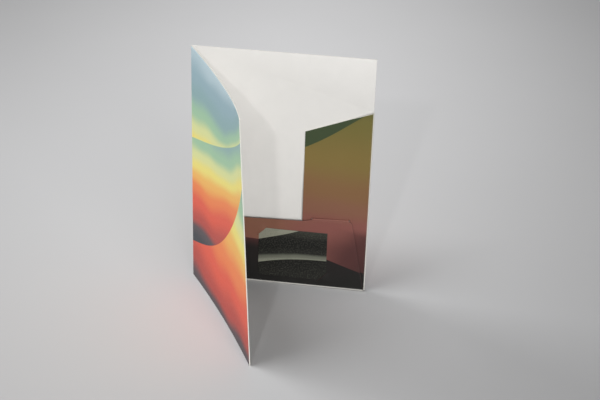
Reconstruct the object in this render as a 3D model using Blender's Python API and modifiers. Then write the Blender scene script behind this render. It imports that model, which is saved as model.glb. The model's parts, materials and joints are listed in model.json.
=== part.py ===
"""A4 presentation folder standing half open, cut and creased from one sheet of board.

The back cover carries a bottom pocket and a tall side flap, which lock together with a
tab in a slit. A card sits in two slits of the pocket. The front cover turns on the spine
crease and stands bowed and a little twisted, as board does. Metres, +Z up. The folder
stands on the floor at Z = 0, its back cover runs along +X and it opens towards -Y.
"""

import math

import bmesh
import bpy
from mathutils import Matrix, Vector

MM = 0.001

# Board, card and the gaps between pieces
BOARD = 1.2 * MM
CARD_THICKNESS = 0.35 * MM
GAP = 0.2 * MM

# Covers
COVER_WIDTH = 220 * MM
COVER_HEIGHT = 310 * MM
SPINE_INNER_RADIUS = 0.6 * MM
EDGE_SETBACK = 1.0 * MM

# Front cover at rest, angles in degrees from the back cover
OPEN_ANGLE = 57.2
TWIST_ANGLE = 2.8
BOW_ANGLE = 7.1
CURL_ANGLE = 7.0
CURL_START = 0.55

# Side flap, folded in from the back cover's outer edge
FLAP_WIDTH = 81.5 * MM
FLAP_INNER_HEIGHT = 212.5 * MM
FLAP_OUTER_HEIGHT = 243.5 * MM
SIDE_CREASE_FOOT = 1.0 * MM

# Bottom pocket, folded up from the back cover's foot
POCKET_START = 14 * MM
POCKET_SWELL_END = 76 * MM
POCKET_END_SLANT = 8 * MM
POCKET_HEIGHT = 93 * MM
POCKET_TOP_SLOPE = 1.6
POCKET_SIDE_SLANT = 17.5 * MM
POCKET_CORNER_RADIUS = 3 * MM
CREASE_LEG = 0.5 * MM

# Locking tab and its slit in the side flap
SLIT_INSET = 11.5 * MM
SLIT_LENGTH = 47 * MM
SLIT_SLOPE = 2.3
SLIT_END_CLEARANCE = 0.8 * MM
SHOULDER_RISE = 2.6 * MM
TAB_BEND_RADIUS = 0.9 * MM
TAB_LENGTH = 12 * MM
TAB_TAPER = 3 * MM

# Card and the two slits that hold its corners
CARD_WIDTH = 86 * MM
CARD_HEIGHT = 67 * MM
CARD_LEFT = 82.8 * MM
CARD_FOOT = 11.7 * MM
CORNER_TUCK = 9.2 * MM
TUCK_RUN = 1.6 * MM
CARD_SLIT_LENGTH = 18 * MM

# How finely curved sheets are faceted
COVER_COLUMNS = 22
COVER_ROWS = 10
BEND_STEPS = 12
SWELL_STEPS = 12
TAB_COLUMNS = 2

# Places that follow from the sizes. Depths are measured from the back cover's inner face.
spine_mid_radius = SPINE_INNER_RADIUS + BOARD / 2
cover_reach = COVER_WIDTH - SPINE_INNER_RADIUS - BOARD
tab_depth = GAP
flap_depth = tab_depth + BOARD + GAP
pocket_depth = flap_depth + BOARD + GAP + CARD_THICKNESS + GAP
card_depth = pocket_depth + BOARD + GAP
side_mid_radius = (flap_depth + BOARD) / 2
side_crease_x = cover_reach - side_mid_radius - BOARD / 2
flap_edge_x = cover_reach - FLAP_WIDTH
bottom_outer_radius = (pocket_depth + BOARD) / 2 + BOARD / 2
crease_top = bottom_outer_radius + CREASE_LEG
panel_foot = crease_top + GAP
pocket_end_x = side_crease_x - GAP
slit_x = flap_edge_x + SLIT_INSET
slit_z = POCKET_HEIGHT + SHOULDER_RISE


def clear_scene():
    for old in list(bpy.data.objects):
        bpy.data.objects.remove(old, do_unlink=True)


def make_material(name, colour, roughness):
    material = bpy.data.materials.new(name)
    material.use_nodes = True
    shader = material.node_tree.nodes["Principled BSDF"]
    shader.inputs["Base Color"].default_value = (*colour, 1)
    shader.inputs["Roughness"].default_value = roughness
    shader.inputs["Metallic"].default_value = 0
    return material


def add_object(name, mesh, collection, material=None):
    piece = bpy.data.objects.new(name, mesh)
    collection.objects.link(piece)
    if material:
        mesh.materials.append(material)
    return piece


def back_point(x, depth, z):
    """A point in front of the back cover's inner face, which lies at Y = SPINE_INNER_RADIUS."""
    return Vector((x, SPINE_INNER_RADIUS - depth, z))


def smooth_step(value):
    value = min(max(value, 0), 1)
    return value * value * (3 - 2 * value)


def make_sheet(name, columns, rows, place, thickness, collection, material=None):
    """A grid whose points go where place(u, v) puts them, as the middle of a sheet."""
    grid = bmesh.new()
    half = Vector((0.5, 0.5, 0))
    bmesh.ops.create_grid(grid, x_segments=columns, y_segments=rows, size=0.5)
    for corner in grid.verts:
        share = corner.co + half
        corner.co = place(share.x, share.y)
    mesh = bpy.data.meshes.new(name)
    grid.to_mesh(mesh)
    grid.free()
    piece = add_object(name, mesh, collection, material)
    wall = piece.modifiers.new("Board thickness", "SOLIDIFY")
    wall.thickness = thickness
    wall.offset = 0
    wall.use_even_offset = True
    return piece


def rounded_outline(corners):
    """Corners are (x, z, radius). A radius above 0 becomes an arc of short chords."""
    outline = []
    for index, (x, z, radius) in enumerate(corners):
        here = Vector((x, z))
        if radius == 0:
            outline.append(here)
            continue
        before = (Vector(corners[index - 1][:2]) - here).normalized()
        after = (Vector(corners[(index + 1) % len(corners)][:2]) - here).normalized()
        half_angle = before.angle(after) / 2
        centre = here + (before + after).normalized() * radius / math.sin(half_angle)
        start = here + before * radius / math.tan(half_angle) - centre
        end = here + after * radius / math.tan(half_angle) - centre
        turn = start.angle_signed(end)
        for step in range(BEND_STEPS // 2 + 1):
            outline.append(centre + Matrix.Rotation(-turn * step / (BEND_STEPS // 2), 2) @ start)
    return outline


def make_panel(name, corners, back_depth, thickness, collection, material=None):
    """A flat outline in X and Z, extruded forward from back_depth, as a mesh."""
    curve = bpy.data.curves.new(name, "CURVE")
    curve.dimensions = "2D"
    curve.fill_mode = "BOTH"
    curve.extrude = thickness / 2
    outline = rounded_outline(corners)
    spline = curve.splines.new("POLY")
    spline.points.add(len(outline) - 1)
    for point, place in zip(spline.points, outline):
        point.co = (place.x, place.y, 0, 1)
    spline.use_cyclic_u = True
    drawn = bpy.data.objects.new(name + "_outline", curve)
    collection.objects.link(drawn)
    graph = bpy.context.evaluated_depsgraph_get()
    mesh = bpy.data.meshes.new_from_object(drawn.evaluated_get(graph))
    bpy.data.objects.remove(drawn)
    bpy.data.curves.remove(curve)
    welded = bmesh.new()
    welded.from_mesh(mesh)
    bmesh.ops.remove_doubles(welded, verts=welded.verts, dist=0.001 * MM)
    upright = Matrix.Rotation(math.radians(90), 4, "X")
    middle = back_point(0, back_depth + thickness / 2, 0)
    bmesh.ops.transform(welded, verts=welded.verts, matrix=Matrix.Translation(middle) @ upright)
    bmesh.ops.recalc_face_normals(welded, faces=welded.faces)
    welded.to_mesh(mesh)
    welded.free()
    mesh.name = name
    return add_object(name, mesh, collection, material)


def make_box_cutter(name, size, place, turn, collection):
    """A box of the given X, Y and Z size, turned about Y by turn degrees."""
    box = bmesh.new()
    bmesh.ops.create_cube(box, size=1)
    bmesh.ops.scale(box, verts=box.verts, vec=size)
    mesh = bpy.data.meshes.new(name)
    box.to_mesh(mesh)
    box.free()
    cutter = add_object(name, mesh, collection)
    cutter.matrix_world = Matrix.Translation(place) @ Matrix.Rotation(math.radians(turn), 4, "Y")
    hide_helper(cutter)
    return cutter


def hide_helper(helper):
    helper.hide_render = True
    helper.display_type = "WIRE"


def add_boolean(piece, helper, operation):
    cut = piece.modifiers.new(helper.name, "BOOLEAN")
    cut.operation = operation
    cut.object = helper
    cut.solver = "EXACT"


def flap_top(x):
    """Height of the side flap's slanted top edge."""
    share = (x - flap_edge_x) / FLAP_WIDTH
    return FLAP_INNER_HEIGHT + (FLAP_OUTER_HEIGHT - FLAP_INNER_HEIGHT) * share


def pocket_top(x):
    """Height of the pocket's top edge between the spine and the side flap."""
    return POCKET_HEIGHT - math.tan(math.radians(POCKET_TOP_SLOPE)) * (flap_edge_x - x)


def pocket_back(x):
    """Depth of the pocket panel's back face: against the back cover at the spine end, and
    swelling to clear the side flap."""
    swell = smooth_step((x - POCKET_START) / (POCKET_SWELL_END - POCKET_START))
    return GAP + (pocket_depth - GAP) * swell


def slit_point(along, up, depth):
    """A point measured along the locking slit and square to it."""
    slope = math.radians(SLIT_SLOPE)
    x = slit_x + along * math.cos(slope) - up * math.sin(slope)
    z = slit_z + along * math.sin(slope) + up * math.cos(slope)
    return back_point(x, depth, z)


# The back cover: one flat panel with a narrow foot beside the pocket.
def make_back_cover(parts, material):
    side = side_crease_x - GAP
    above = FLAP_OUTER_HEIGHT + GAP
    corners = [
        (GAP, 0, 0),
        (POCKET_START - GAP, 0, 0),
        (POCKET_START - GAP, panel_foot, 0),
        (side, panel_foot, 0),
        (side, above, 0),
        (cover_reach - EDGE_SETBACK, above, 0),
        (cover_reach - EDGE_SETBACK, COVER_HEIGHT, 0),
        (GAP, COVER_HEIGHT, 0),
    ]
    return make_panel("back_cover", corners, -BOARD, BOARD, parts, material)


# The front cover: a sheet whose heading turns across its width (bow), up its height
# (twist) and most of all near its upper free corner (curl).
def cover_heading(across, up):
    curl = max(across - CURL_START, 0) / (1 - CURL_START)
    angle = OPEN_ANGLE + TWIST_ANGLE * up + BOW_ANGLE * across + CURL_ANGLE * up * curl**2
    return math.radians(angle)


def front_cover_point(across, up):
    foot = cover_heading(0, up)
    x = -math.sin(foot) * spine_mid_radius + math.cos(foot) * GAP
    y = -math.cos(foot) * spine_mid_radius - math.sin(foot) * GAP
    steps = 40
    stride = (cover_reach - GAP) * across / steps
    for step in range(steps):
        heading = cover_heading(across * (step + 0.5) / steps, up)
        x += math.cos(heading) * stride
        y -= math.sin(heading) * stride
    return Vector((x, y, up * COVER_HEIGHT))


def make_front_cover(parts, material):
    return make_sheet(
        "front_cover", COVER_COLUMNS, COVER_ROWS, front_cover_point, BOARD, parts, material
    )


# The spine crease: the bend that joins the covers, round the hinge axis at X = Y = 0.
def spine_point(around, up):
    start = math.radians(90)
    end = math.radians(270) - cover_heading(0, up)
    angle = start + (end - start) * around
    return Vector((math.cos(angle), math.sin(angle), 0)) * spine_mid_radius + Vector(
        (0, 0, up * COVER_HEIGHT)
    )


def make_spine_crease(parts, material):
    return make_sheet(
        "spine_crease", BEND_STEPS, COVER_ROWS, spine_point, BOARD, parts, material
    )


# The side crease: a half round between the back cover and the side flap.
def side_crease_point(around, up):
    angle = math.radians(-90 + 180 * around)
    middle_depth = (flap_depth + BOARD) / 2 - BOARD / 2
    x = side_crease_x + math.cos(angle) * side_mid_radius
    depth = middle_depth - math.sin(angle) * side_mid_radius
    z = SIDE_CREASE_FOOT + (FLAP_OUTER_HEIGHT - SIDE_CREASE_FOOT) * up
    return back_point(x, depth, z)


def make_side_crease(parts, material):
    return make_sheet("side_crease", BEND_STEPS, 1, side_crease_point, BOARD, parts, material)


# The side flap: a tall panel with a slanted top and the slit for the locking tab.
def make_side_flap(parts, cutters, material):
    side = side_crease_x - GAP
    corners = [
        (flap_edge_x, panel_foot, 0),
        (side, panel_foot, 0),
        (side, flap_top(side), 0),
        (flap_edge_x, flap_top(flap_edge_x), 0),
    ]
    flap = make_panel("side_flap", corners, flap_depth, BOARD, parts, material)
    size = (SLIT_LENGTH, 4 * BOARD, BOARD + 2 * GAP)
    middle = slit_point(SLIT_LENGTH / 2, TAB_BEND_RADIUS, flap_depth + BOARD / 2)
    cutter = make_box_cutter("locking_slit", size, middle, -SLIT_SLOPE, cutters)
    add_boolean(flap, cutter, "DIFFERENCE")
    return flap


# The bottom crease: a U that widens from the spine end, where the pocket hugs the back
# cover, to the side flap's end. Its lowest line is the floor.
def bottom_crease_point(along, around):
    swell_part = POCKET_SWELL_END - POCKET_START
    steps = SWELL_STEPS + 1
    step = along * steps
    if step <= SWELL_STEPS:
        x = POCKET_START + swell_part * step / SWELL_STEPS
    else:
        x = POCKET_SWELL_END + (pocket_end_x - POCKET_SWELL_END) * (step - SWELL_STEPS)
    radius = (pocket_back(x) + BOARD) / 2
    middle_depth = radius - BOARD / 2
    middle_z = radius + BOARD / 2
    bends = BEND_STEPS
    place = around * (bends + 2)
    if place < 0.5:
        return back_point(x, middle_depth - radius, crease_top)
    if place > bends + 1.5:
        return back_point(x, middle_depth + radius, crease_top)
    angle = math.pi * (place - 1) / bends
    depth = middle_depth - math.cos(angle) * radius
    return back_point(x, depth, middle_z - math.sin(angle) * radius)


def make_bottom_crease(parts, material):
    return make_sheet(
        "bottom_crease",
        SWELL_STEPS + 1,
        BEND_STEPS + 2,
        bottom_crease_point,
        BOARD,
        parts,
        material,
    )


# The pocket panel: a sheet that swells clear of the flap, trimmed to its outline, with
# two diagonal slits for the card's corners.
def pocket_sheet_point(along, up):
    overhang = 4 * MM
    steps = SWELL_STEPS + 2
    step = along * steps
    if step <= 1:
        x = POCKET_START - overhang * (1 - step)
    elif step <= SWELL_STEPS + 1:
        x = POCKET_START + (POCKET_SWELL_END - POCKET_START) * (step - 1) / SWELL_STEPS
    else:
        flat_part = pocket_end_x + overhang - POCKET_SWELL_END
        x = POCKET_SWELL_END + flat_part * (step - SWELL_STEPS - 1)
    low = panel_foot - overhang / 2
    high = slit_z + SLIT_LENGTH * math.sin(math.radians(SLIT_SLOPE)) + overhang
    return back_point(x, pocket_back(x) + BOARD / 2, low + (high - low) * up)


def pocket_corners():
    tab_start = slit_point(0, 0, 0)
    tab_end = slit_point(SLIT_LENGTH, 0, 0)
    side_top_x = pocket_end_x - POCKET_SIDE_SLANT
    return [
        (POCKET_START, panel_foot, 0),
        (pocket_end_x, panel_foot, 0),
        (side_top_x, tab_end.z - SHOULDER_RISE, POCKET_CORNER_RADIUS),
        (tab_end.x, tab_end.z, 0),
        (tab_start.x, tab_start.z, 0),
        (flap_edge_x, pocket_top(flap_edge_x), 0),
        (POCKET_START + POCKET_END_SLANT, pocket_top(POCKET_START), POCKET_CORNER_RADIUS),
    ]


def card_slit_width():
    """Wide enough for the card to slope from the panel's front to its back."""
    drop = BOARD + 2 * GAP + CARD_THICKNESS
    slope = math.atan2(drop, TUCK_RUN)
    return BOARD * TUCK_RUN / drop + CARD_THICKNESS / math.sin(slope) + 2 * GAP


def tucked_corners():
    """The card's upper left and lower right corners, each with its outward diagonal."""
    top = CARD_FOOT + CARD_HEIGHT
    right = CARD_LEFT + CARD_WIDTH
    diagonal = math.sqrt(0.5)
    return [
        (CARD_LEFT, top, -diagonal, diagonal),
        (right, CARD_FOOT, diagonal, -diagonal),
    ]


def make_pocket_panel(parts, cutters, material):
    panel = make_sheet(
        "pocket_panel", SWELL_STEPS + 2, 1, pocket_sheet_point, BOARD, parts, material
    )
    reach = card_depth + 4 * BOARD
    outline = make_panel("pocket_outline", pocket_corners(), -BOARD, reach, cutters)
    hide_helper(outline)
    add_boolean(panel, outline, "INTERSECT")
    inset = CORNER_TUCK * math.sqrt(0.5)
    for number, (x, z, out_x, out_z) in enumerate(tucked_corners(), 1):
        place = back_point(x - out_x * inset, pocket_depth + BOARD / 2, z - out_z * inset)
        size = (card_slit_width(), 4 * BOARD, CARD_SLIT_LENGTH)
        cutter = make_box_cutter(f"card_slit_{number}", size, place, 45, cutters)
        add_boolean(panel, cutter, "DIFFERENCE")
    return panel


# The locking tab: it bends back from the pocket's top edge, passes the slit and stands
# up behind the side flap.
def locking_tab_path():
    """Middle line of the tab as (depth, height above the slit line) points."""
    front = pocket_depth + BOARD / 2
    back = tab_depth + BOARD / 2
    bend = TAB_BEND_RADIUS
    quarter = BEND_STEPS // 2
    points = [(front, GAP)]
    for step in range(quarter + 1):
        angle = math.radians(90) * step / quarter
        height = GAP * 2 + (bend - GAP * 2) * math.sin(angle)
        points.append((front - bend + bend * math.cos(angle), height))
    for step in range(quarter + 1):
        angle = math.radians(90) * step / quarter
        points.append((back + bend - bend * math.sin(angle), 2 * bend - bend * math.cos(angle)))
    points.append((back, TAB_LENGTH))
    return points


def locking_tab_point(across, along):
    path = locking_tab_path()
    depth, height = path[round(along * (len(path) - 1))]
    half = SLIT_LENGTH / 2 - SLIT_END_CLEARANCE
    half -= TAB_TAPER * max(height - TAB_BEND_RADIUS, 0) / TAB_LENGTH
    return slit_point(SLIT_LENGTH / 2 + half * (2 * across - 1), height, depth)


def make_locking_tab(parts, material):
    rows = len(locking_tab_path()) - 1
    return make_sheet(
        "locking_tab", TAB_COLUMNS, rows, locking_tab_point, BOARD, parts, material
    )


# The card: flat on the pocket, with two opposite corners dipping behind it.
def make_card(parts, material):
    card = bmesh.new()
    bmesh.ops.create_grid(card, x_segments=1, y_segments=1, size=0.5)
    for corner in card.verts:
        share = corner.co + Vector((0.5, 0.5, 0))
        x = CARD_LEFT + CARD_WIDTH * share.x
        z = CARD_FOOT + CARD_HEIGHT * share.y
        corner.co = back_point(x, card_depth + CARD_THICKNESS / 2, z)
    inset = CORNER_TUCK * math.sqrt(0.5)
    drop = BOARD + 2 * GAP + CARD_THICKNESS
    for x, z, out_x, out_z in tucked_corners():
        outward = Vector((out_x, 0, out_z))
        slit = Vector((x - out_x * inset, 0, z - out_z * inset))
        for side in (-0.5, 0.5):
            everything = card.verts[:] + card.edges[:] + card.faces[:]
            fold = slit + outward * TUCK_RUN * side
            bmesh.ops.bisect_plane(card, geom=everything, plane_co=fold, plane_no=outward)
        for corner in card.verts:
            past = (corner.co - slit).dot(outward) / TUCK_RUN + 0.5
            corner.co.y += drop * min(max(past, 0), 1)
    mesh = bpy.data.meshes.new("business_card")
    card.to_mesh(mesh)
    card.free()
    piece = add_object("business_card", mesh, parts, material)
    wall = piece.modifiers.new("Card thickness", "SOLIDIFY")
    wall.thickness = CARD_THICKNESS
    wall.offset = 0
    wall.use_even_offset = True
    return piece


def stand_at_centre(parts, frame):
    """Moves the frame so that the folder's outer box is centred on the Z axis."""
    bpy.context.view_layer.update()
    graph = bpy.context.evaluated_depsgraph_get()
    corners = [
        Vector(corner) for piece in parts.objects for corner in piece.evaluated_get(graph).bound_box
    ]
    for axis in (0, 1):
        places = [corner[axis] for corner in corners]
        frame.location[axis] = -(min(places) + max(places)) / 2


def main():
    clear_scene()
    parts = bpy.data.collections.new("presentation_folder")
    cutters = bpy.data.collections.new("cutters")
    bpy.context.scene.collection.children.link(parts)
    bpy.context.scene.collection.children.link(cutters)
    art_print = make_material("laminated cover print", (0.42, 0.55, 0.55), 0.35)
    white_board = make_material("white board", (0.72, 0.71, 0.69), 0.6)
    dark_print = make_material("laminated pocket print", (0.12, 0.07, 0.05), 0.35)
    card_print = make_material("grainy card print", (0.03, 0.03, 0.028), 0.5)

    make_back_cover(parts, white_board)
    make_front_cover(parts, art_print)
    make_spine_crease(parts, art_print)
    make_side_crease(parts, white_board)
    make_side_flap(parts, cutters, dark_print)
    make_bottom_crease(parts, white_board)
    make_pocket_panel(parts, cutters, dark_print)
    make_locking_tab(parts, dark_print)
    make_card(parts, card_print)

    frame = bpy.data.objects.new("hinge_axis", None)
    bpy.context.scene.collection.objects.link(frame)
    stand_at_centre(parts, frame)
    for piece in list(parts.objects) + list(cutters.objects):
        piece.parent = frame
    place = frame.location / MM
    print(f"spine hinge axis at X {place.x:.3f} mm, Y {place.y:.3f} mm")


main()
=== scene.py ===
import json
import math

import bmesh
import bpy
from mathutils import Matrix, Vector


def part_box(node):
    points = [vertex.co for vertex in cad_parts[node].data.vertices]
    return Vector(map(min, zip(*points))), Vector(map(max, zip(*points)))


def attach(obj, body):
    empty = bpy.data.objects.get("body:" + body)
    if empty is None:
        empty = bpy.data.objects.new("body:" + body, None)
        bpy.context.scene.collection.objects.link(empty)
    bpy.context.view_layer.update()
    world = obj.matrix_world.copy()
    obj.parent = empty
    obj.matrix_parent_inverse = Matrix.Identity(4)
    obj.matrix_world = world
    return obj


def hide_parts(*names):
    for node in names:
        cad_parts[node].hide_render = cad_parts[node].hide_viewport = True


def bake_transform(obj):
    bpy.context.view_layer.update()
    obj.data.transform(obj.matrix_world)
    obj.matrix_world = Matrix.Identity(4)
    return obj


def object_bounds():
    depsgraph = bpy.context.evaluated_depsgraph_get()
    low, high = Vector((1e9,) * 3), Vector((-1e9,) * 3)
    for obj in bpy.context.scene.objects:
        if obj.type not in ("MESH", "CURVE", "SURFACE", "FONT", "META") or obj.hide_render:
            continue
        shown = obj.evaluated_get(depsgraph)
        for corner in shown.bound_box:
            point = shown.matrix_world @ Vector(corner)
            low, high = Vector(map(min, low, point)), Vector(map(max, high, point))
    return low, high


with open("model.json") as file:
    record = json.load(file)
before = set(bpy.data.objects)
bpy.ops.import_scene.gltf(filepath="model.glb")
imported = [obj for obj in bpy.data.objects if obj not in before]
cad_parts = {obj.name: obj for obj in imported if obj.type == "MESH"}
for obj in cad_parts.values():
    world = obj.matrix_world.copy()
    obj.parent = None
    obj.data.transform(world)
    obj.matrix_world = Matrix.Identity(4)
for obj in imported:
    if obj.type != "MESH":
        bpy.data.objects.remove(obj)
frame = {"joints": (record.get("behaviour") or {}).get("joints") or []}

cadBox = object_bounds()
print("Folder: frame loaded")

# What the whole blank shares, in metres
board = {
    "thickness": 0.0012,
    "gap": 0.0002,  # clearance between layers
    "edgeBevel": 0.00012,
    "edgeSegments": 2,
    "coverReach": 0.2182,  # from the hinge line to a cover's free edge
    "coverHeight": 0.310,
    "spineInnerRadius": 0.0006,
    "bevelAngle": 50,  # only edges sharper than this are rounded
    "sharpAngle": 35,
    "flatFacing": 0.7,  # a face turned this far to the front or the back is a side, not a cut
    "weldDistance": 0.000001,
}

hingeLine = Vector(frame["joints"][0]["pos_m"])
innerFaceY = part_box("back_cover")[0].y
thickness = board["thickness"]
gap = board["gap"]
fineBevel = board["edgeBevel"] / 2  # for folds, and edges that ink runs over
coverReach = board["coverReach"]
coverHeight = board["coverHeight"]
spineMidRadius = board["spineInnerRadius"] + thickness / 2


def inFront(x, depth, z):
    # a point measured from the hinge line, the back cover's inner face and the floor
    return Vector((hingeLine.x + x, innerFaceY - depth, z))


def smoothStep(value):
    value = min(max(value, 0), 1)
    return value * value * (3 - 2 * value)


# Colours are written as they look on screen, 0 to 255
def ink(red, green, blue):
    def linear(channel):
        share = channel / 255
        return share / 12.92 if share <= 0.04045 else ((share + 0.055) / 1.055) ** 2.4

    return (linear(red), linear(green), linear(blue), 1)


# Small helpers for node trees
def feed(tree, socket, value):
    if isinstance(value, bpy.types.NodeSocket):
        tree.links.new(value, socket)
    else:
        socket.default_value = value


def mathNode(tree, operation, *values):
    node = tree.nodes.new("ShaderNodeMath")
    node.operation = operation
    for socket, value in zip(node.inputs, values):
        feed(tree, socket, value)
    return node.outputs[0]


def vectorNode(tree, operation, *values):
    node = tree.nodes.new("ShaderNodeVectorMath")
    node.operation = operation
    for socket, value in zip(node.inputs, values):
        feed(tree, socket, value)
    return node


def rangeNode(tree, value, fromMin, fromMax, toMin, toMax, smooth=False):
    node = tree.nodes.new("ShaderNodeMapRange")
    node.interpolation_type = "SMOOTHSTEP" if smooth else "LINEAR"
    for name, amount in (
        ("Value", value),
        ("From Min", fromMin),
        ("From Max", fromMax),
        ("To Min", toMin),
        ("To Max", toMax),
    ):
        feed(tree, node.inputs[name], amount)
    return node.outputs["Result"]


def noiseNode(tree, vector, scale, detail=2.0):
    node = tree.nodes.new("ShaderNodeTexNoise")
    tree.links.new(vector, node.inputs["Vector"])
    node.inputs["Scale"].default_value = scale
    node.inputs["Detail"].default_value = detail
    return node.outputs["Fac"]


noiseSpread = (0.3, 0.7)  # most of a noise lies between these


def spreadNode(tree, noise, low, high):
    # a noise drawn out to run from low to high
    return rangeNode(tree, noise, *noiseSpread, low, high)


def rampNode(tree, value, stops):
    node = tree.nodes.new("ShaderNodeValToRGB")
    node.color_ramp.interpolation = "EASE"
    marks = node.color_ramp.elements
    while len(marks) < len(stops):
        marks.new(1.0)
    for mark, (place, colour) in zip(marks, stops):
        mark.position = place
    for mark, (place, colour) in zip(marks, stops):
        mark.color = ink(*colour)
    tree.links.new(value, node.inputs["Fac"])
    return node.outputs["Color"]


def mixNode(tree, blend, factor, first, second):
    node = tree.nodes.new("ShaderNodeMix")
    node.data_type = "RGBA"
    node.blend_type = blend
    feed(tree, node.inputs["Factor"], factor)
    feed(tree, node.inputs["A"], first)
    feed(tree, node.inputs["B"], second)
    return node.outputs["Result"]


def addBump(tree, shader, height, strength, distance):
    node = tree.nodes.new("ShaderNodeBump")
    node.inputs["Strength"].default_value = strength
    node.inputs["Distance"].default_value = distance
    tree.links.new(height, node.inputs["Height"])
    tree.links.new(node.outputs["Normal"], shader.inputs["Normal"])


def newMaterial(name):
    material = bpy.data.materials.new(name)
    material.use_nodes = True
    tree = material.node_tree
    return material, tree, tree.nodes["Principled BSDF"]


def objectPlace(tree):
    return tree.nodes.new("ShaderNodeTexCoord").outputs["Object"]


# Uncoated board: warm white with fibres and a soft, cloudy formation
paperLook = {
    "colour": (226, 224, 220),
    "cloudScale": 55,
    "cloudDepth": 0.025,
    "fibreScale": 2600,
    "fibreDepth": 0.03,
    "toothScale": 1400,
    "toothHeight": 0.00003,
    "bump": 0.35,
    "roughness": (0.6, 0.72),
    "specular": 0.4,
}


def makePaper(name, look):
    material, tree, shader = newMaterial(name)
    place = objectPlace(tree)
    clouds = noiseNode(tree, place, look["cloudScale"], 3)
    fibres = noiseNode(tree, place, look["fibreScale"], 3)
    cloudShare = spreadNode(tree, clouds, 1 - look["cloudDepth"], 1)
    fibreShare = spreadNode(tree, fibres, 1 - look["fibreDepth"], 1)
    share = mathNode(tree, "MULTIPLY", cloudShare, fibreShare)
    colour = mixNode(tree, "MULTIPLY", 1.0, ink(*look["colour"]), share)
    tree.links.new(colour, shader.inputs["Base Color"])
    tree.links.new(spreadNode(tree, fibres, *look["roughness"]), shader.inputs["Roughness"])
    tooth = noiseNode(tree, place, look["toothScale"], 4)
    addBump(tree, shader, tooth, look["bump"], look["toothHeight"])
    shader.inputs["Specular IOR Level"].default_value = look["specular"]
    return material


# Cut edge: the board's core, with fine plies and torn fibres left by the knife
edgeLook = {
    "bare": (232, 230, 222),
    # painted shade: the pocket's and tab's cut edges are a dark maroon, though the board's core is
    # white
    "paintedShadeColour": (92, 62, 58),
    "dark": (70, 68, 64),
    "fibreScale": 4200,
    "fibreDepth": 0.1,
    "fibreHeight": 0.00006,
    "bump": 0.6,
    "plyScale": 900,
    "plySpread": (0.35, 0.65),
    "plyDepth": 0.07,
    "roughness": 0.85,
}


def makeCutEdge(name, colour):
    material, tree, shader = newMaterial(name)
    place = objectPlace(tree)
    fibres = noiseNode(tree, place, edgeLook["fibreScale"], 4)
    plies = noiseNode(tree, place, edgeLook["plyScale"], 2)
    fibreShare = spreadNode(tree, fibres, 1 - edgeLook["fibreDepth"], 1)
    plyShare = rangeNode(tree, plies, *edgeLook["plySpread"], 1 - edgeLook["plyDepth"], 1)
    share = mathNode(tree, "MULTIPLY", fibreShare, plyShare)
    tree.links.new(mixNode(tree, "MULTIPLY", 1.0, ink(*colour), share), shader.inputs["Base Color"])
    shader.inputs["Roughness"].default_value = edgeLook["roughness"]
    addBump(tree, shader, fibres, edgeLook["bump"], edgeLook["fibreHeight"])
    return material


# Printed board under a soft laminate. The print is broad waves of colour: a ramp up the
# board, thrown back along crisp ribbons. Lengths are metres on the flat blank.
coverInk = {
    "foot": -0.02,
    "span": 0.33,
    "ramp": [
        (0.00, (62, 66, 72)),
        (0.07, (86, 78, 82)),
        (0.14, (188, 78, 68)),
        (0.26, (232, 95, 72)),
        (0.36, (246, 138, 80)),
        (0.44, (250, 191, 99)),
        (0.51, (247, 232, 129)),
        (0.58, (228, 232, 164)),
        (0.66, (167, 206, 171)),
        (0.78, (146, 179, 182)),
        (0.90, (154, 183, 193)),
        (1.00, (191, 212, 220)),
    ],
    "ribbons": [
        {"height": 0.05, "rise": -0.90, "swing": 0.045, "length": 0.50, "phase": 0.0,
         "soft": 0.0004, "fade": 0.130, "lift": -0.24},
        {"height": 0.19, "rise": -0.50, "swing": -0.020, "length": 0.60, "phase": -3.0,
         "soft": 0.0004, "fade": 0.080, "lift": -0.16},
    ],
    "drift": 0.05,
    "driftScale": 9,
    "roughness": 0.50,
}

pocketInk = {
    "foot": -0.005,
    "span": 0.262,
    "ramp": [
        (0.00, (28, 28, 26)),
        (0.20, (33, 29, 28)),
        (0.29, (80, 48, 46)),
        (0.36, (128, 79, 72)),
        (0.45, (127, 88, 69)),
        (0.56, (125, 93, 62)),
        (0.70, (123, 105, 58)),
        (0.88, (110, 102, 54)),
        (1.00, (60, 72, 48)),
    ],
    "ribbons": [
        {"height": 0.050, "rise": -0.07, "swing": 0.018, "length": 0.40, "phase": 0.3,
         "soft": 0.0004, "fade": 0.050, "lift": 0.15},
        {"height": 0.118, "rise": 0.58, "swing": 0.006, "length": 0.20, "phase": 0.0,
         "soft": 0.0004, "fade": 0.060, "lift": 0.26},
    ],
    "drift": 0.035,
    "driftScale": 11,
    "roughness": 0.50,
}

cardInk = {
    "foot": -0.030,
    "span": 0.110,
    "ramp": [
        (0.00, (140, 142, 126)),
        (0.14, (104, 106, 94)),
        (0.27, (28, 28, 25)),
        (0.50, (15, 15, 13)),
        (0.74, (18, 18, 16)),
        (0.88, (48, 48, 42)),
        (1.00, (140, 140, 124)),
    ],
    "ribbons": [
        {"height": 0.016, "rise": 0.14, "swing": 0.004, "length": 0.20, "phase": 0.5,
         "soft": 0.0003, "fade": 0.030, "lift": -0.48},
        {"height": 0.049, "rise": 0.42, "swing": 0.003, "length": 0.15, "phase": 2.5,
         "soft": 0.0003, "fade": 0.030, "lift": 0.30},
    ],
    "drift": 0.03,
    "driftScale": 30,
    "roughness": 0.58,
}
cardGrain = {
    "cloudScale": 560,
    "cloudEdge": (0.48, 0.62),
    "dotScale": 3000,
    "dotEdge": (0.46, 0.58),
    "colour": (92, 92, 82),
    "share": 0.6,
}
driftSpread = (0.2, 0.8)  # the part of the noise that the waves drift with

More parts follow.
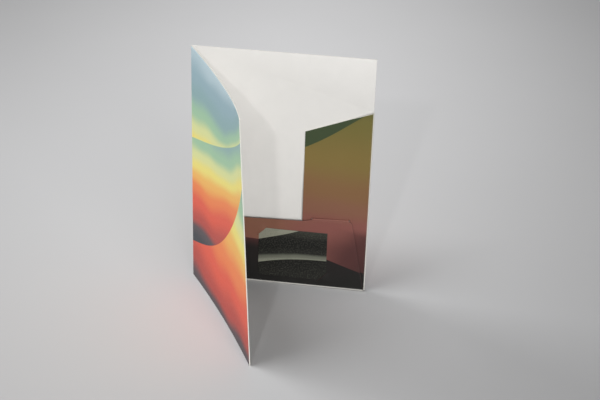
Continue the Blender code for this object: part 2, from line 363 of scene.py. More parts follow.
filmLook = {
    "speckScale": 1800,
    "speckDepth": 0.04,
    "rippleScale": 320,
    "rippleHeight": 0.00002,
    "bump": 0.3,
    "roughnessShift": (-0.04, 0.06),
    "specular": 0.22,
    "coat": 0.03,
    "coatRoughness": 0.25,
    "creaseLineColour": (214, 212, 206),
    "creaseLineEdge": (0.88, 1.06),  # where a pale crease line ends, in shares of its width
    "creaseLineRagged": 0.06,
}
spineCreaseLine = {"axis": "X", "at": 0.0, "width": 0.0005, "share": 0.35}


def wavePlace(tree, u, v, vector, design):
    climb = mathNode(tree, "SUBTRACT", v, design["foot"])
    place = mathNode(tree, "DIVIDE", climb, design["span"])
    drift = noiseNode(tree, vector, design["driftScale"], 1)
    drift = rangeNode(tree, drift, *driftSpread, -design["drift"], design["drift"])
    place = mathNode(tree, "ADD", place, drift)
    for ribbon in design["ribbons"]:
        turn = mathNode(tree, "MULTIPLY_ADD", u, 2 * math.pi / ribbon["length"], ribbon["phase"])
        wave = mathNode(tree, "MULTIPLY", mathNode(tree, "SINE", turn), ribbon["swing"])
        slope = mathNode(tree, "MULTIPLY_ADD", u, ribbon["rise"], ribbon["height"])
        line = mathNode(tree, "SUBTRACT", v, mathNode(tree, "ADD", slope, wave))
        edge = rangeNode(tree, line, -ribbon["soft"], ribbon["soft"], 0, 1, smooth=True)
        fade = rangeNode(tree, line, 0, ribbon["fade"], ribbon["lift"], 0)
        place = mathNode(tree, "MULTIPLY_ADD", edge, fade, place)
    return place


def makePrint(name, design, creaseLine=None, grain=None):
    material, tree, shader = newMaterial(name)
    uvMap = tree.nodes.new("ShaderNodeUVMap")
    uvMap.uv_map = "UVMap"
    flat = uvMap.outputs["UV"]
    split = tree.nodes.new("ShaderNodeSeparateXYZ")
    tree.links.new(flat, split.inputs["Vector"])
    u = split.outputs["X"]
    v = split.outputs["Y"]
    colour = rampNode(tree, wavePlace(tree, u, v, flat, design), design["ramp"])
    specks = noiseNode(tree, flat, filmLook["speckScale"], 3)
    depth = filmLook["speckDepth"]
    speckShare = spreadNode(tree, specks, 1 - depth, 1 + depth)
    colour = mixNode(tree, "MULTIPLY", 1.0, colour, speckShare)
    if grain:
        cloud = noiseNode(tree, flat, grain["cloudScale"], 3)
        cloud = rangeNode(tree, cloud, *grain["cloudEdge"], 0, 1)
        dots = noiseNode(tree, flat, grain["dotScale"], 2)
        dots = rangeNode(tree, dots, *grain["dotEdge"], 0, 1)
        cover = mathNode(tree, "MULTIPLY", mathNode(tree, "MULTIPLY", cloud, dots), grain["share"])
        colour = mixNode(tree, "MIX", cover, colour, ink(*grain["colour"]))
    if creaseLine:  # a paler, ragged line along a crease
        width = creaseLine["width"]
        shift = width * filmLook["creaseLineRagged"]
        inner, outer = (width * share for share in filmLook["creaseLineEdge"])
        ragged = spreadNode(tree, specks, -shift, shift)
        away = mathNode(tree, "SUBTRACT", split.outputs[creaseLine["axis"]], creaseLine["at"])
        reach = mathNode(tree, "ADD", mathNode(tree, "ABSOLUTE", away), ragged)
        creaseLineShare = rangeNode(tree, reach, inner, outer, creaseLine["share"], 0, smooth=True)
        colour = mixNode(tree, "MIX", creaseLineShare, colour, ink(*filmLook["creaseLineColour"]))
    tree.links.new(colour, shader.inputs["Base Color"])
    ripple = noiseNode(tree, flat, filmLook["rippleScale"], 2)
    low, high = (design["roughness"] + shift for shift in filmLook["roughnessShift"])
    tree.links.new(spreadNode(tree, ripple, low, high), shader.inputs["Roughness"])
    addBump(tree, shader, ripple, filmLook["bump"], filmLook["rippleHeight"])
    shader.inputs["Specular IOR Level"].default_value = filmLook["specular"]
    shader.inputs["Coat Weight"].default_value = filmLook["coat"]
    shader.inputs["Coat Roughness"].default_value = filmLook["coatRoughness"]
    return material


whiteBoard = makePaper("whiteBoard", paperLook)
cutEdge = makeCutEdge("cutEdge", edgeLook["bare"])
# painted shade: the pocket and tab get a dark maroon cut edge in place of the white core
paintedShadeEdge = makeCutEdge("paintedShadeEdge", edgeLook["paintedShadeColour"])
darkEdge = makeCutEdge("darkEdge", edgeLook["dark"])
coverPrint = makePrint("coverPrint", coverInk, spineCreaseLine)
pocketPrint = makePrint("pocketPrint", pocketInk)
cardPrint = makePrint("cardPrint", cardInk, grain=cardGrain)
print("Folder: finishes mixed")


# Turning what a maker draws into finished board
def addPiece(name, mesh, materials=()):
    piece = bpy.data.objects.new(name, mesh)
    bpy.context.scene.collection.objects.link(piece)
    for material in materials:
        mesh.materials.append(material)
    return piece


def setMesh(piece):
    # applies the modifiers, so that a plain mesh is left
    graph = bpy.context.evaluated_depsgraph_get()
    mesh = bpy.data.meshes.new_from_object(piece.evaluated_get(graph))
    piece.modifiers.clear()
    old = piece.data
    piece.data = mesh
    mesh.name = piece.name
    bpy.data.meshes.remove(old)
    return mesh


def bevelRim(piece, width):
    bevel = piece.modifiers.new("Rim", "BEVEL")
    bevel.width = width
    bevel.segments = board["edgeSegments"]
    bevel.limit_method = "ANGLE"
    bevel.angle_limit = math.radians(board["bevelAngle"])
    setMesh(piece)


def smoothPiece(piece):
    piece.data.shade_smooth()
    piece.data.set_sharp_from_angle(angle=math.radians(board["sharpAngle"]))


def thickenSheet(piece, wall):
    solid = piece.modifiers.new("Board", "SOLIDIFY")
    solid.thickness = wall
    solid.offset = 0
    solid.use_even_offset = True
    solid.material_offset = 1
    solid.material_offset_rim = 2
    setMesh(piece)


def bentSheet(name, columns, rows, place, uvPlace, materials, wall, bevel):
    # materials are those of the outer side, the inner side and the cut edge
    grid = bmesh.new()
    bmesh.ops.create_grid(grid, x_segments=columns, y_segments=rows, size=0.5)
    uvLayer = grid.loops.layers.uv.new("UVMap")
    shares = {corner: (corner.co.x + 0.5, corner.co.y + 0.5) for corner in grid.verts}
    for corner, share in shares.items():
        corner.co = place(*share)
    for face in grid.faces:
        for loop in face.loops:
            loop[uvLayer].uv = uvPlace(*shares[loop.vert])
    mesh = bpy.data.meshes.new(name)
    grid.to_mesh(mesh)
    grid.free()
    piece = addPiece(name, mesh, materials)
    thickenSheet(piece, wall)
    bevelRim(piece, bevel)
    smoothPiece(piece)
    return piece


def makeCutter(name, size, middle, turn):
    box = bmesh.new()
    bmesh.ops.create_cube(box, size=1)
    bmesh.ops.scale(box, verts=box.verts, vec=size)
    place = Matrix.Translation(middle) @ Matrix.Rotation(math.radians(turn), 4, "Y")
    bmesh.ops.transform(box, verts=box.verts, matrix=place)
    mesh = bpy.data.meshes.new(name)
    box.to_mesh(mesh)
    box.free()
    cutter = addPiece(name, mesh)
    cutter.hide_render = True
    return cutter


def flatBoard(name, outline, depth, wall, materials, cutters=(), bevel=board["edgeBevel"]):
    # materials are those of the front, the back and the cut edge
    shape = bmesh.new()
    corners = [shape.verts.new(inFront(x, depth + wall / 2, z)) for x, z in outline]
    face = shape.faces.new(corners)
    face.normal_update()
    if face.normal.y > 0:
        face.normal_flip()
    mesh = bpy.data.meshes.new(name)
    shape.to_mesh(mesh)
    shape.free()
    piece = addPiece(name, mesh, materials)
    thickenSheet(piece, wall)
    for cutter in cutters:
        cut = piece.modifiers.new(cutter.name, "BOOLEAN")
        cut.operation = "DIFFERENCE"
        cut.object = cutter
        cut.solver = "EXACT"
    mesh = setMesh(piece)
    for cutter in cutters:
        bpy.data.objects.remove(cutter)
    limit = board["flatFacing"]
    for polygon in mesh.polygons:
        facing = polygon.normal.y
        polygon.material_index = 0 if facing < -limit else 1 if facing > limit else 2
    bevelRim(piece, bevel)
    return piece


def layFlat(piece, originX=0.0, originZ=0.0):
    # an unwrapped print: across and up the board in metres
    mesh = piece.data
    layer = mesh.uv_layers.get("UVMap") or mesh.uv_layers.new(name="UVMap")
    for loop in mesh.loops:
        corner = mesh.vertices[loop.vertex_index].co
        layer.data[loop.index].uv = (corner.x - hingeLine.x - originX, corner.z - originZ)


def roundCorner(before, corner, after, radius, steps=8):
    # points along the arc that rounds a corner, each an (x, z) pair
    here = Vector(corner)
    toBefore = (Vector(before) - here).normalized()
    toAfter = (Vector(after) - here).normalized()
    half = toBefore.angle(toAfter) / 2
    centre = here + (toBefore + toAfter).normalized() * radius / math.sin(half)
    start = here + toBefore * radius / math.tan(half) - centre
    end = here + toAfter * radius / math.tan(half) - centre
    turn = start.angle_signed(end)
    arc = [Matrix.Rotation(-turn * step / steps, 2) @ start + centre for step in range(steps + 1)]
    return [(point.x, point.y) for point in arc]


def gridCuts(piece, step):
    # cross cuts a step apart, so that the flat board can bend
    shape = bmesh.new()
    shape.from_mesh(piece.data)
    low = Vector((min(v.co.x for v in shape.verts), 0, min(v.co.z for v in shape.verts)))
    high = Vector((max(v.co.x for v in shape.verts), 0, max(v.co.z for v in shape.verts)))
    for axis in (0, 2):
        count = int((high[axis] - low[axis]) / step)
        for number in range(1, count + 1):
            middle = low.copy()
            middle[axis] = low[axis] + (high[axis] - low[axis]) * number / (count + 1)
            direction = Vector((0, 0, 0))
            direction[axis] = 1
            everything = shape.verts[:] + shape.edges[:] + shape.faces[:]
            bmesh.ops.bisect_plane(shape, geom=everything, plane_co=middle, plane_no=direction)
    shape.to_mesh(piece.data)
    shape.free()


# Where the layers of the pocket lie, as depths in front of the back cover's inner face
cardThickness = 0.00035
tabDepth = gap
flapDepth = tabDepth + thickness + gap
pocketDepth = flapDepth + thickness + gap + cardThickness + gap
cardDepth = pocketDepth + thickness + gap
cutterDepth = 4 * thickness  # well through one board

# Where the side and bottom creases run
sideMidRadius = (flapDepth + thickness) / 2
sideCreaseX = coverReach - sideMidRadius - thickness / 2
bottomOuterRadius = pocketDepth / 2 + thickness
creaseLeg = 0.0005
panelFoot = bottomOuterRadius + creaseLeg + gap

# Front cover: its heading turns across the width, up the height and most at the upper
# free corner. Geometry Nodes walk each row of the sheet along that heading.
frontCover = {
    "Reach": coverReach,
    "Height": coverHeight,
    "Thickness": thickness,
    "Spine Radius": spineMidRadius,
    "Open Angle": 57.2,
    "Twist": 2.8,
    "Bow": 7.1,
    "Curl": 7.0,
    "Curl Start": 0.55,
    "Columns": 96,
    "Rows": 108,
}


def frontHeading(across, up):
    # as the tree below has it, for the spine's fold to meet
    curl = max(across - frontCover["Curl Start"], 0) / (1 - frontCover["Curl Start"])
    angle = frontCover["Open Angle"] + frontCover["Twist"] * up + frontCover["Bow"] * across
    return math.radians(angle + frontCover["Curl"] * up * curl**2)


def coverTree():
    tree = bpy.data.node_groups.new("bowedCover", "GeometryNodeTree")
    tree.interface.new_socket("Geometry", in_out="INPUT", socket_type="NodeSocketGeometry")
    tree.interface.new_socket("Geometry", in_out="OUTPUT", socket_type="NodeSocketGeometry")
    for name, value in frontCover.items():
        kind = "NodeSocketInt" if isinstance(value, int) else "NodeSocketFloat"
        tree.interface.new_socket(name, in_out="INPUT", socket_type=kind)
    sizes = tree.nodes.new("NodeGroupInput").outputs
    new = tree.nodes.new
    link = tree.links.new

    def calc(operation, *values):
        return mathNode(tree, operation, *values)

    grid = new("GeometryNodeMeshGrid")
    grid.inputs["Size X"].default_value = 1
    grid.inputs["Size Y"].default_value = 1
    link(calc("ADD", sizes["Columns"], 1), grid.inputs["Vertices X"])
    link(calc("ADD", sizes["Rows"], 1), grid.inputs["Vertices Y"])
    split = new("ShaderNodeSeparateXYZ")
    link(new("GeometryNodeInputPosition").outputs[0], split.inputs[0])
    across = calc("ADD", split.outputs["X"], 0.5)
    up = calc("ADD", split.outputs["Y"], 0.5)

    def heading(share):
        start = sizes["Curl Start"]
        curl = calc("DIVIDE", calc("SUBTRACT", share, start), calc("SUBTRACT", 1, start))
        curl = calc("POWER", calc("MAXIMUM", curl, 0), 2)
        angle = calc("MULTIPLY_ADD", sizes["Twist"], up, sizes["Open Angle"])
        angle = calc("MULTIPLY_ADD", sizes["Bow"], share, angle)
        angle = calc("MULTIPLY_ADD", calc("MULTIPLY", sizes["Curl"], up), curl, angle)
        return calc("RADIANS", angle)

    # one stride per column, summed along each row
    stride = calc("DIVIDE", sizes["Reach"], sizes["Columns"])
    middle = calc("SUBTRACT", across, calc("DIVIDE", 0.5, sizes["Columns"]))
    stride = calc("MULTIPLY", stride, calc("GREATER_THAN", middle, 0))
    row = calc("ROUND", calc("MULTIPLY", up, sizes["Rows"]))
    walked = []
    for part in ("COSINE", "SINE"):
        walk = new("GeometryNodeAccumulateField")
        link(calc("MULTIPLY", calc(part, heading(middle)), stride), walk.inputs["Value"])
        link(row, walk.inputs["Group ID"])
        walked.append(walk.outputs["Leading"])
    foot = heading(0.0)
    radius = sizes["Spine Radius"]
    x = calc("SUBTRACT", walked[0], calc("MULTIPLY", calc("SINE", foot), radius))
    y = calc("ADD", walked[1], calc("MULTIPLY", calc("COSINE", foot), radius))
    place = new("ShaderNodeCombineXYZ")
    link(calc("ADD", x, hingeLine.x), place.inputs["X"])
    link(calc("SUBTRACT", hingeLine.y, y), place.inputs["Y"])
    link(calc("MULTIPLY", up, sizes["Height"]), place.inputs["Z"])

    # the unwrapped print: metres to the left of the spine, and up
    flat = new("ShaderNodeCombineXYZ")
    link(calc("MULTIPLY", across, calc("MULTIPLY", sizes["Reach"], -1)), flat.inputs["X"])
    link(calc("MULTIPLY", up, sizes["Height"]), flat.inputs["Y"])
    unwrap = new("GeometryNodeStoreNamedAttribute")
    unwrap.data_type = "FLOAT2"
    unwrap.domain = "CORNER"
    unwrap.inputs["Name"].default_value = "UVMap"
    link(grid.outputs["Mesh"], unwrap.inputs["Geometry"])
    link(flat.outputs[0], unwrap.inputs["Value"])
    bend = new("GeometryNodeSetPosition")
    link(unwrap.outputs[0], bend.inputs["Geometry"])
    link(place.outputs[0], bend.inputs["Position"])

    def coated(geometry, material):
        node = new("GeometryNodeSetMaterial")
        node.inputs["Material"].default_value = material
        link(geometry, node.inputs["Geometry"])
        return node

    # the sheet moves in by half its thickness and is drawn out by the whole of it
    inward = new("ShaderNodeVectorMath")
    inward.operation = "SCALE"
    link(new("GeometryNodeInputNormal").outputs["Normal"], inward.inputs["Vector"])
    link(calc("MULTIPLY", sizes["Thickness"], -0.5), inward.inputs["Scale"])
    inner = new("GeometryNodeSetPosition")
    link(bend.outputs[0], inner.inputs["Geometry"])
    link(inward.outputs[0], inner.inputs["Offset"])
    drawn = new("GeometryNodeExtrudeMesh")
    drawn.inputs["Individual"].default_value = False
    link(inner.outputs[0], drawn.inputs["Mesh"])
    link(sizes["Thickness"], drawn.inputs["Offset Scale"])
    flip = new("GeometryNodeFlipFaces")
    link(inner.outputs[0], flip.inputs["Mesh"])
    printed = coated(drawn.outputs["Mesh"], coverPrint)
    bare = coated(flip.outputs[0], whiteBoard)
    join = new("GeometryNodeJoinGeometry")
    link(bare.outputs[0], join.inputs[0])
    link(printed.outputs[0], join.inputs[0])
    weld = new("GeometryNodeMergeByDistance")
    weld.inputs["Distance"].default_value = board["weldDistance"]
    link(join.outputs[0], weld.inputs["Geometry"])
    real = new("GeometryNodeRealizeInstances")
    link(weld.outputs[0], real.inputs["Geometry"])
    edged = coated(real.outputs[0], cutEdge)
    link(drawn.outputs["Side"], edged.inputs["Selection"])
    link(edged.outputs[0], new("NodeGroupOutput").inputs["Geometry"])
    return tree


def makeFrontCover():
    tree = coverTree()
    piece = addPiece("frontCoverBoard", bpy.data.meshes.new("frontCoverBoard"))
    bow = piece.modifiers.new("Bowed cover", "NODES")
    bow.node_group = tree
    for item in tree.interface.items_tree:
        if item.in_out == "INPUT" and item.name in frontCover:
            bow[item.identifier] = frontCover[item.name]
    setMesh(piece)
    bevelRim(piece, board["edgeBevel"])
    smoothPiece(piece)
    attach(piece, "front")
    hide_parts("front_cover")


makeFrontCover()
print("Folder: front cover bowed")

# Spine: the board bends round the hinge line. Its ends are pressed in a little, so that they
# stay between the covers where it shortens.
spine = {
    "steps": 18,
    "rows": 40,
    "endDrop": 0.0001,
    "midDrop": 0.00015,
    "blendStart": 0.02,
    "blendEnd": 0.98,
}


def spinePlace(around, up):
    drop = spine["endDrop"] + spine["midDrop"] * 4 * around * (1 - around)
    start = math.radians(90)
    end = math.radians(270) - frontHeading(0, up)
    angle = start + (end - start) * around
    return Vector(
        (
            hingeLine.x + math.cos(angle) * spineMidRadius,
            hingeLine.y + math.sin(angle) * spineMidRadius,
            drop + (coverHeight - 2 * drop) * up,
        )
    )


def makeSpine():
    arc = spineMidRadius * (math.radians(180) - frontHeading(0, 0.5))
    piece = bentSheet(
        "spineFold",
        spine["steps"],
        spine["rows"],
        spinePlace,
        lambda around, up: (arc * (0.5 - around), up * coverHeight),
        (coverPrint, whiteBoard, cutEdge),
        thickness,
        fineBevel,
    )
    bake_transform(piece)
    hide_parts("spine_crease")


makeSpine()

# Back cover: one flat panel, plain inside and printed outside
backCover = {
    "footWidth": 0.0138,  # the foot beside the pocket
    "edgeSetback": 0.001,
    "flapTop": 0.2435,
}


def makeBackCover():
    edge = coverReach - backCover["edgeSetback"]
    above = backCover["flapTop"] + gap
    outline = [
        (0, 0),
        (backCover["footWidth"], 0),
        (backCover["footWidth"], panelFoot),
        (sideCreaseX, panelFoot),
        (sideCreaseX, above),
        (edge, above),
        (edge, coverHeight),
        (0, coverHeight),
    ]
    piece = flatBoard(
        "backCoverBoard", outline, -thickness, thickness, (whiteBoard, coverPrint, cutEdge)
    )
    layFlat(piece)
    smoothPiece(piece)
    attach(piece, "back")
    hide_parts("back_cover")


makeBackCover()

# Side fold: a half round between the back cover and the side flap. The print runs round it
# and is paler, in a ragged line, along its outermost line.
sideFold = {"steps": 16, "foot": 0.001, "rows": 24}
sideCreaseLine = {"axis": "X", "at": sideCreaseX, "width": 0.0017, "share": 0.95}


def sidePlace(around, up):
    angle = math.radians(-90 + 180 * around)
    middleDepth = flapDepth / 2
    x = sideCreaseX + math.cos(angle) * sideMidRadius
    z = sideFold["foot"] + (backCover["flapTop"] - sideFold["foot"]) * up
    return inFront(x, middleDepth - math.sin(angle) * sideMidRadius, z)


def makeSideFold():
    arc = math.pi * sideMidRadius
    piece = bentSheet(
        "sideFold",
        sideFold["steps"],
        sideFold["rows"],
        sidePlace,
        lambda around, up: (sideCreaseX + arc * (0.5 - around), sidePlace(around, up).z),
        (makePrint("sideFoldPrint", pocketInk, sideCreaseLine), whiteBoard, cutEdge),
        thickness,
        fineBevel,
    )
    # past the pale line the print is the cover's
    piece.data.materials.append(makePrint("edgeFoldPrint", coverInk, sideCreaseLine))
    for polygon in piece.data.polygons:
        if polygon.material_index == 0 and polygon.normal.y > 0:
            polygon.material_index = 3
    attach(piece, "back")
    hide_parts("side_crease")


makeSideFold()

# Side flap: tall, with a slanted top and the sloping slit that takes the pocket's tab. Above
# the tab its free side leans back on the cover.
sideFlap = {
    "width": 0.0815,
    "innerHeight": 0.2125,
    "outerHeight": backCover["flapTop"],
    "lean": 0.0015,
    "leanFoot": 0.118,
    "leanRise": 0.06,
    "leanSide": 0.004,
    "leanWidth": 0.028,
    "bendStep": 0.004,
}
lockingSlit = {"inset": 0.0115, "length": 0.047, "slope": 2.3, "endClearance": 0.0008}
lockingTab = {"bend": 0.0009, "length": 0.012, "taper": 0.003, "shoulder": 0.0026}
pocket = {
    "start": 0.014,
    "swellEnd": 0.076,
    "endSlant": 0.008,
    "height": 0.093,
    "topSlope": 1.6,
    "sideSlant": 0.0175,
    "cornerRadius": 0.003,
    "bendStep": 0.003,
}
flapEdgeX = coverReach - sideFlap["width"]
slitX = flapEdgeX + lockingSlit["inset"]
slitZ = pocket["height"] + lockingTab["shoulder"]
pocketEndX = sideCreaseX - gap


def slitPoint(along, up, depth):
    slope = math.radians(lockingSlit["slope"])
    x = slitX + along * math.cos(slope) - up * math.sin(slope)
    z = slitZ + along * math.sin(slope) + up * math.cos(slope)
    return inFront(x, depth, z)


def flapLean(x, z):
    rise = smoothStep((z - sideFlap["leanFoot"]) / sideFlap["leanRise"])
    across = smoothStep((sideCreaseX - sideFlap["leanSide"] - x) / sideFlap["leanWidth"])
    return sideFlap["lean"] * rise * across


def makeSideFlap():
    rise = sideFlap["outerHeight"] - sideFlap["innerHeight"]
    outerZ = sideFlap["innerHeight"] + rise * (sideCreaseX - flapEdgeX) / sideFlap["width"]
    outline = [
        (flapEdgeX, panelFoot),
        (sideCreaseX, panelFoot),
        (sideCreaseX, outerZ),
        (flapEdgeX, sideFlap["innerHeight"]),
    ]
    size = (lockingSlit["length"], cutterDepth, thickness + 2 * gap)
    middle = slitPoint(lockingSlit["length"] / 2, lockingTab["bend"], flapDepth + thickness / 2)
    cutter = makeCutter("lockingSlitCut", size, middle, -lockingSlit["slope"])
    piece = flatBoard(
        "sideFlapBoard",
        outline,
        flapDepth,
        thickness,
        (pocketPrint, whiteBoard, cutEdge),
        (cutter,),
    )
    gridCuts(piece, sideFlap["bendStep"])
    layFlat(piece)
    for corner in piece.data.vertices:
        corner.co.y += flapLean(corner.co.x - hingeLine.x, corner.co.z)
    smoothPiece(piece)
    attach(piece, "back")
    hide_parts("side_flap")


makeSideFlap()
print("Folder: back cover, side fold and side flap made")

# Bottom fold: a U that widens from the spine end of the pocket to the side flap, printed
# and paler, in a ragged line, along its lowest line
bottomFold = {"columns": 60, "bends": 14}
bottomCreaseLine = {"axis": "Y", "at": 0.0009, "width": 0.0025, "share": 0.8}


def pocketBack(x):
    swell = smoothStep((x - pocket["start"]) / (pocket["swellEnd"] - pocket["start"]))
    return gap + (pocketDepth - gap) * swell


def bottomPlace(along, around):
    # a straight leg at each end, and the half round between them
    x = pocket["start"] + (pocketEndX - pocket["start"]) * along
    radius = (pocketBack(x) + thickness) / 2
    middleDepth = radius - thickness / 2
    bends = bottomFold["bends"]
    place = around * (bends + 2)
    if place < 0.5:
        return inFront(x, middleDepth - radius, panelFoot)
    if place > bends + 1.5:
        return inFront(x, middleDepth + radius, panelFoot)
    angle = math.pi * (place - 1) / bends
    depth = middleDepth - math.cos(angle) * radius
    return inFront(x, depth, radius + thickness / 2 - math.sin(angle) * radius)


def makeBottomFold():
    piece = bentSheet(
        "bottomFold",
        bottomFold["columns"],
        bottomFold["bends"] + 2,
        bottomPlace,
        lambda along, around: (
            bottomPlace(along, around).x - hingeLine.x,
            panelFoot * (2 * around - 1),
        ),
        (makePrint("bottomFoldPrint", pocketInk, bottomCreaseLine), whiteBoard, cutEdge),
        thickness,
        fineBevel,
    )
    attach(piece, "back")
    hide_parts("bottom_crease")


makeBottomFold()

# Pocket panel: it swells clear of the flap, and its two diagonal slits give way to the
# card's corners, with the lip outside each slit lifted and the board inside it pressed in
card = {
    "width": 0.086,
    "height": 0.067,
    "left": 0.0828,
    "foot": 0.0117,
    "tuck": 0.0092,  # along each edge of a tucked corner
    "slitLength": 0.018,
    "slitWidth": 0.0003,
    "slitTurn": 45,  # square across the corner
    "lipLift": 0.00115,
    "boardSink": 0.0006,
    "giveReach": 0.008,
    "dipStart": 0.0115,
    "dipSlope": 0.075,
    "dipSoftness": 0.004,
    "bendStep": 0.002,
}


def cardSlits():
    # the middle of each slit, and the way out to the card's corner
    diagonal = math.sqrt(0.5)
    inset = card["tuck"] * diagonal
    corners = [
        (card["left"], card["foot"] + card["height"], -diagonal, diagonal),
        (card["left"] + card["width"], card["foot"], diagonal, -diagonal),
    ]
    return [(x - outX * inset, z - outZ * inset, outX, outZ) for x, z, outX, outZ in corners]


def fromSlit(x, z, slit):
    # how far a point lies outside a slit, and how far along it
    middleX, middleZ, outX, outZ = slit
    out = (x - middleX) * outX + (z - middleZ) * outZ
    along = (z - middleZ) * outX - (x - middleX) * outZ
    return out, along


def panelGive(x, z):
    shift = 0.0
    for slit in cardSlits():
        out, along = fromSlit(x, z, slit)
        hold = max(0, 1 - (2 * along / card["slitLength"]) ** 2) ** 2
        amount = card["lipLift"] if out > 0 else -card["boardSink"]
        shift += amount * hold * math.exp(-((out / card["giveReach"]) ** 2))
    return shift


def cardDip(x, z):
    dip = 0.0
    soft = card["dipSoftness"]
    for slit in cardSlits():
        out, _ = fromSlit(x, z, slit)
        past = out + card["dipStart"]
        if past > 0:
            run = past**2 / (2 * soft) if past < soft else past - soft / 2
            dip += card["dipSlope"] * run
    return dip


def pocketOutline():
    # up its side, along the line where the tab bends, and down its slanted end at the spine
    radius = pocket["cornerRadius"]
    fall = math.tan(math.radians(pocket["topSlope"])) * (flapEdgeX - pocket["start"])
    tabStart = slitPoint(0, 0, 0)
    tabEnd = slitPoint(lockingSlit["length"], 0, 0)
    spineFoot = (pocket["start"], panelFoot)
    sideFoot = (pocketEndX, panelFoot)
    sideTop = (pocketEndX - pocket["sideSlant"], tabEnd.z - lockingTab["shoulder"])
    tabEndCorner = (tabEnd.x - hingeLine.x, tabEnd.z)
    tabStartCorner = (tabStart.x - hingeLine.x, tabStart.z)
    edgeTop = (flapEdgeX, pocket["height"])
    spineTop = (pocket["start"] + pocket["endSlant"], pocket["height"] - fall)
    return [
        spineFoot,
        sideFoot,
        *roundCorner(sideFoot, sideTop, tabEndCorner, radius),
        tabEndCorner,
        tabStartCorner,
        edgeTop,
        *roundCorner(edgeTop, spineTop, spineFoot, radius),
    ]


def makePocketPanel():
    cutters = []
    for number, (x, z, *_) in enumerate(cardSlits()):
        size = (card["slitWidth"], cutterDepth, card["slitLength"])
        middle = inFront(x, 0, z)
        cutters.append(makeCutter(f"cardSlitCut{number}", size, middle, card["slitTurn"]))
    piece = flatBoard(
        "pocketPanelBoard",
        pocketOutline(),
        -thickness / 2,
        thickness,
        (pocketPrint, whiteBoard, paintedShadeEdge),
        cutters,
        fineBevel,
    )
    gridCuts(piece, pocket["bendStep"])
    layFlat(piece)
    for corner in piece.data.vertices:
        x = corner.co.x - hingeLine.x
        corner.co.y -= pocketBack(x) + thickness / 2 + panelGive(x, corner.co.z)
    smoothPiece(piece)
    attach(piece, "back")
    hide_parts("pocket_panel")


makePocketPanel()

# Locking tab: it bends back from the pocket's top edge, through the slit, and stands up
# behind the flap
tabPath = {"bends": 8, "columns": 12}


def tabLine():
    front = pocketDepth + thickness / 2
    back = tabDepth + thickness / 2
    bend = lockingTab["bend"]
    line = [(front, 0.0)]
    quarter = [math.radians(90) * step / tabPath["bends"] for step in range(tabPath["bends"] + 1)]
    for angle in quarter[1:]:
        line.append((front - bend + bend * math.cos(angle), bend * math.sin(angle)))
    for angle in quarter:
        line.append((back + bend - bend * math.sin(angle), 2 * bend - bend * math.cos(angle)))
    line.append((back, lockingTab["length"]))
    return line


def tabPlace(across, along):
    line = tabLine()
    depth, height = line[round(along * (len(line) - 1))]
    half = lockingSlit["length"] / 2 - lockingSlit["endClearance"]
    half -= lockingTab["taper"] * max(height - lockingTab["bend"], 0) / lockingTab["length"]
    return slitPoint(lockingSlit["length"] / 2 + half * (2 * across - 1), height, depth)


def makeLockingTab():
    piece = bentSheet(
        "lockingTabBoard",
        tabPath["columns"],
        len(tabLine()) - 1,
        tabPlace,
        lambda across, along: (
            tabPlace(across, along).x - hingeLine.x,
            tabPlace(across, along).z,
        ),
        (pocketPrint, whiteBoard, paintedShadeEdge),
        thickness,
        fineBevel,
    )
    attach(piece, "back")
    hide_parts("locking_tab")


makeLockingTab()


# Card: lies on the pocket, with two opposite corners dipping through the slits
def makeCard():
    left = card["left"]
    foot = card["foot"]
    right = left + card["width"]
    top = foot + card["height"]
    outline = [(left, foot), (right, foot), (right, top), (left, top)]
    piece = flatBoard(
        "cardSheet",
        outline,
        cardDepth,
        cardThickness,
        (cardPrint, cardPrint, darkEdge),
        bevel=cardThickness / 6,
    )
    gridCuts(piece, card["bendStep"])
    layFlat(piece, left, foot)
    for corner in piece.data.vertices:
        corner.co.y += cardDip(corner.co.x - hingeLine.x, corner.co.z)
    smoothPiece(piece)
    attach(piece, "back")
    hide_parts("business_card")


makeCard()
print("Folder: bottom fold, pocket, tab and card made")

# Studio: a pale floor with a painted pool of light, and soft lights. A lamp's bearing is 0 in front
# of the folder and
# -90 on its left, and its climb is the angle above the floor.
studio = {
    "floorSize": 9.0,
    "floorDrop": 0.00005,
    "floorColour": (205, 205, 206),
    "floorRoughness": 0.8,
    "floorSpecular": 0.2,
    "mottleScale": 4,
    "mottleDepth": 0.015,
    # painted light: a paler pool on the floor, whose tones are shares of its colour
    "paintedLightPool": {"middle": (-0.065, 0.98, 0), "reach": (0.95, 2.0, 1), "tones": (1.325, 0.60)},
    "ambient": 0.15,
    "backdrop": 0.50,  # how bright the surroundings look
    "farFloor": (0.75, 1.35),  # the floor melts into them here, in shares of the painted light pool's reach
    "aim": (0, 0, 0.12),
    "lamps": [
        {"name": "topLight", "bearing": -70, "climb": 65, "reach": 2.6, "size": 1.2, "watts": 37},
        {"name": "leftLight", "bearing": -110, "climb": 25, "reach": 4.5, "size": 2.0, "watts": 82},
        {"name": "frontLight", "bearing": 30, "climb": 8, "reach": 4.5, "size": 2.0, "watts": 149},
        {"name": "keyLight", "bearing": -3, "climb": 31, "reach": 2.8, "size": 0.08, "watts": 8.5},
    ],
}


def seenShare(tree):
    # 1 where the eye meets a surface straight on, in a reflection or through it
    ray = tree.nodes.new("ShaderNodeLightPath").outputs
    seen = mathNode(tree, "MAXIMUM", ray["Is Camera Ray"], ray["Is Glossy Ray"])
    return mathNode(tree, "MAXIMUM", seen, ray["Is Transmission Ray"])


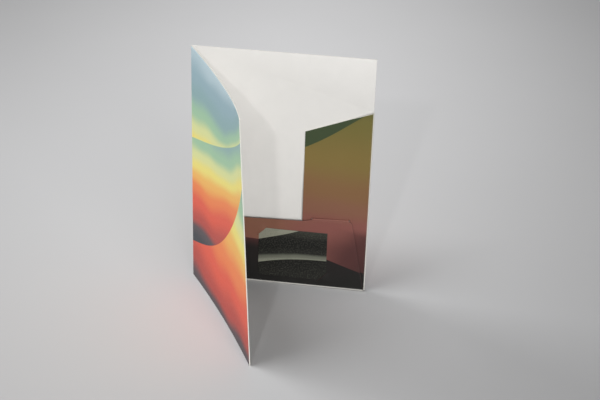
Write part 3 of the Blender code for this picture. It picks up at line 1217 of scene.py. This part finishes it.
def makeFloor():
    sheet = bmesh.new()
    bmesh.ops.create_grid(sheet, x_segments=1, y_segments=1, size=studio["floorSize"] / 2)
    mesh = bpy.data.meshes.new("floor")
    sheet.to_mesh(mesh)
    sheet.free()
    material, tree, shader = newMaterial("floorPaint")
    place = objectPlace(tree)
    mottle = noiseNode(tree, place, studio["mottleScale"], 2)
    mottle = spreadNode(tree, mottle, 1 - studio["mottleDepth"], 1)
    # painted light: the floor is paler near the folder and darker away from it, as a pool of light
    paintedLightPool = studio["paintedLightPool"]
    fromMiddle = vectorNode(tree, "SUBTRACT", place, paintedLightPool["middle"])
    fromMiddle = vectorNode(tree, "DIVIDE", fromMiddle.outputs["Vector"], paintedLightPool["reach"])
    away = vectorNode(tree, "LENGTH", fromMiddle.outputs["Vector"]).outputs["Value"]
    mottleAndPaintedLight = rangeNode(tree, away, 0, 1, *paintedLightPool["tones"], smooth=True)
    mottleAndPaintedLight = mathNode(tree, "MULTIPLY", mottle, mottleAndPaintedLight)
    colour = mixNode(tree, "MULTIPLY", 1.0, ink(*studio["floorColour"]), mottleAndPaintedLight)
    tree.links.new(colour, shader.inputs["Base Color"])
    shader.inputs["Roughness"].default_value = studio["floorRoughness"]
    shader.inputs["Specular IOR Level"].default_value = studio["floorSpecular"]
    # far off, the floor melts into the backdrop
    far = rangeNode(tree, away, *studio["farFloor"], 0, 1, smooth=True)
    glow = tree.nodes.new("ShaderNodeEmission")
    glow.inputs["Strength"].default_value = studio["backdrop"]
    melt = tree.nodes.new("ShaderNodeMixShader")
    tree.links.new(mathNode(tree, "MULTIPLY", far, seenShare(tree)), melt.inputs[0])
    tree.links.new(shader.outputs[0], melt.inputs[1])
    tree.links.new(glow.outputs[0], melt.inputs[2])
    tree.links.new(melt.outputs[0], tree.nodes["Material Output"].inputs["Surface"])
    floor = addPiece("floor", mesh, [material])
    floor.location.z = min(cadBox[0].z, 0) - studio["floorDrop"]


def makeLights():
    world = bpy.data.worlds.new("studio")
    bpy.context.scene.world = world
    world.use_nodes = True
    tree = world.node_tree
    sky = tree.nodes["Background"]
    sky.inputs["Color"].default_value = (1, 1, 1, 1)
    strength = rangeNode(tree, seenShare(tree), 0, 1, studio["ambient"], studio["backdrop"])
    tree.links.new(strength, sky.inputs["Strength"])
    for lamp in studio["lamps"]:
        light = bpy.data.lights.new(lamp["name"], "AREA")
        light.size = lamp["size"]
        light.energy = lamp["watts"]
        holder = bpy.data.objects.new(lamp["name"], light)
        bpy.context.scene.collection.objects.link(holder)
        bearing = math.radians(lamp["bearing"])
        climb = math.radians(lamp["climb"])
        flat = math.cos(climb)
        outward = Vector((math.sin(bearing) * flat, -math.cos(bearing) * flat, math.sin(climb)))
        holder.location = Vector(studio["aim"]) + outward * lamp["reach"]
        holder.rotation_euler = outward.to_track_quat("Z", "Y").to_euler()
        holder.visible_camera = False


makeFloor()
makeLights()

# Camera: fitted to the covers' corners and edges
photoCamera = {
    "sensor": 36,
    "fromHinge": (0.31847, -1.44026, 0.8682),  # from the hinge line's foot
    "lens": 79.92,
    "turn": 7.35,
    "pitch": 27.27,
    "roll": 1.82,
}


def makeCamera():
    data = bpy.data.cameras.new("photoCamera")
    data.sensor_width = photoCamera["sensor"]
    data.lens = photoCamera["lens"]
    camera = bpy.data.objects.new("photoCamera", data)
    bpy.context.scene.collection.objects.link(camera)
    spot = Vector(photoCamera["fromHinge"]) + Vector((hingeLine.x, hingeLine.y, 0))
    turn = Matrix.Rotation(math.radians(photoCamera["turn"]), 4, "Z")
    tilt = Matrix.Rotation(math.radians(90 - photoCamera["pitch"]), 4, "X")
    roll = Matrix.Rotation(math.radians(photoCamera["roll"]), 4, "Z")
    camera.matrix_world = Matrix.Translation(spot) @ turn @ tilt @ roll
    bpy.context.scene.camera = camera


makeCamera()
bpy.context.scene.view_settings.view_transform = "Standard"
print("Folder: studio set")
